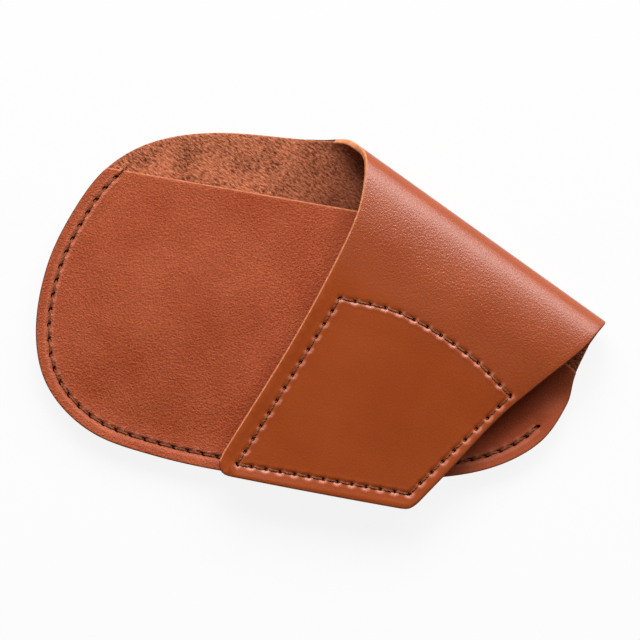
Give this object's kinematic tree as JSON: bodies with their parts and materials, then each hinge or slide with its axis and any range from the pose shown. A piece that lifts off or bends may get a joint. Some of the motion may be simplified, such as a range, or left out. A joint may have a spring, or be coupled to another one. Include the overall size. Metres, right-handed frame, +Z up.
{
  "type": "guitar pick holder",
  "caption": "Soft leather pouch for picks with a sewn front pocket and a wide folded tongue that lifts off it as a flap.",
  "frame": {"origin": "on the flat back, at the middle of the pouch, where it rests on a table", "axes": "+X along the pocket's mouth to the fold side, +Y to the mouth side, +Z up out of the front"},
  "size_m": [0.1127, 0.0711, 0.0113],
  "materials": {
    "leather": "tan aniline leather with a fine pebbled grain, satin",
    "facing_leather": "thin split of the same leather, satin",
    "thread": "dark brown twisted polyester sewing thread"
  },
  "bodies": {
    "pouch": {"back_panel": "leather", "pocket_panel": "leather", "pocket_seam_needle_thread": "thread", "pocket_seam_bobbin_thread": "thread"},
    "flap": {"flap": "leather", "flap_facing": "facing_leather", "flap_seam_needle_thread": "thread", "flap_seam_bobbin_thread": "thread"}
  },
  "joints": [
    {"name": "flap_fold", "type": "hinge", "parent": "pouch", "child": "flap", "pos_m": [0.0079, 0.0329, 0.0054], "axis": [-0.9018, 0.4321, 0], "range_deg": [0, 165]}
  ]
}
